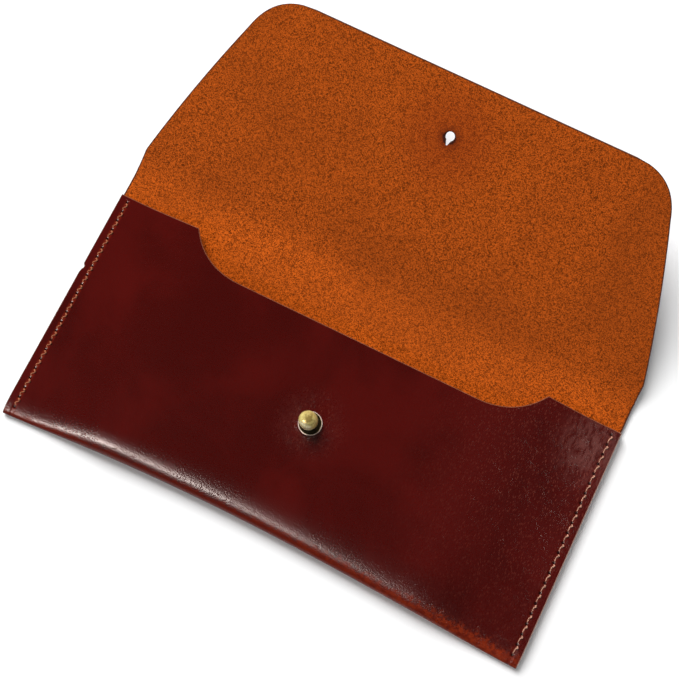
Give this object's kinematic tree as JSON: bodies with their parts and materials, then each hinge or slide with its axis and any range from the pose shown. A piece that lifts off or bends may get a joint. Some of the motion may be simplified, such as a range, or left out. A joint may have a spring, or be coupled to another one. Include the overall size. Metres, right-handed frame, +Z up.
{
  "type": "continental wallet",
  "caption": "Long leather flap wallet, open: notched front pocket, sewn sides and a ball stud that buttons through a slit hole in the narrowing flap.",
  "frame": {"origin": "on the table, under the middle of the open wallet", "axes": "+X to the right across the wallet's width, +Y from the bottom fold towards the flap's tip, +Z up from the table"},
  "size_m": [0.1956, 0.1702, 0.0343],
  "materials": {
    "hide": "smooth, glossy dark oxblood grain outside with redder burnish at the folds; orange-tan suede flesh side inside",
    "antique_brass": "polished brass with brown tarnish",
    "thread": "waxed tan thread"
  },
  "bodies": {
    "pocket_body": {"pocket": "hide", "stud": "antique_brass", "stud_screw": "antique_brass", "left_front_thread": "thread", "left_back_thread": "thread", "right_front_thread": "thread", "right_back_thread": "thread"},
    "spine_body": {"spine": "hide"},
    "flap_body": {"flap": "hide"}
  },
  "joints": [
    {"name": "lower_crease", "type": "hinge", "parent": "pocket_body", "child": "spine_body", "pos_m": [0, 0.01048, 0.0018], "axis": [1, 0, 0], "range_deg": [-12.5, 71]},
    {"name": "upper_crease", "type": "hinge", "parent": "spine_body", "child": "flap_body", "pos_m": [0, 0.01829, 0.00353], "axis": [1, 0, 0], "range_deg": [-12.5, 71]}
  ],
  "couplings": [
    {"joint": "upper_crease", "follows": "lower_crease", "ratio": 1}
  ]
}
